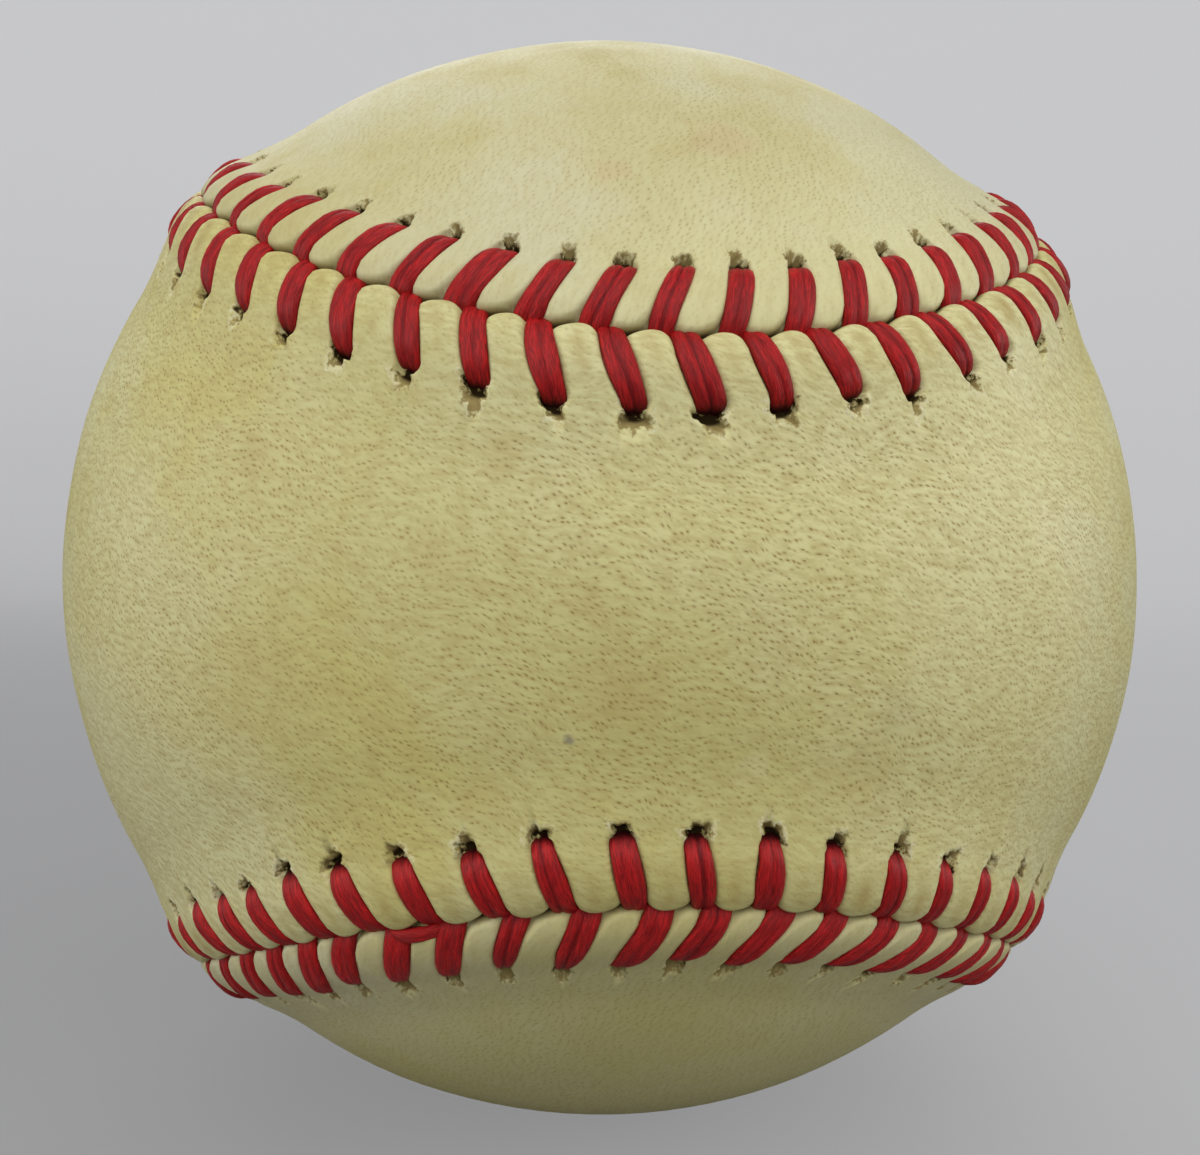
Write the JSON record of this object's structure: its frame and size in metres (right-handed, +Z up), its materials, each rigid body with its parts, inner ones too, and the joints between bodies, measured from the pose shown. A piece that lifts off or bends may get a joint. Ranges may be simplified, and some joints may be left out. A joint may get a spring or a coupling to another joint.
{
  "type": "baseball",
  "caption": "Leather ball for bat-and-ball games: two waisted cover panels sewn together with raised red cross stitches over wound yarn and a cork and rubber pill.",
  "frame": {"origin": "centre of the ball", "axes": "-Y through the narrow waist of the front cover, +X and -X through that cover's lobes, +Z up and -Z down through the lobes of the back cover"},
  "size_m": [0.0742, 0.0742, 0.0742],
  "materials": {
    "cork": "matte",
    "black_rubber": "matte",
    "red_rubber": "matte",
    "grey_wool": "matte",
    "white_wool": "matte",
    "fine_cotton": "matte",
    "cover_leather": "satin",
    "red_thread": "satin"
  },
  "bodies": {
    "root": {"cork_core": "cork", "black_rubber_shell_upper": "black_rubber", "black_rubber_shell_lower": "black_rubber", "red_rubber_gasket": "red_rubber", "red_rubber_shell_upper": "red_rubber", "red_rubber_shell_lower": "red_rubber", "first_wool_winding": "grey_wool", "second_wool_winding": "white_wool", "third_wool_winding": "grey_wool", "finishing_yarn_winding": "fine_cotton", "front_cover": "cover_leather", "back_cover": "cover_leather", "stitching_thread": "red_thread"}
  },
  "joints": []
}
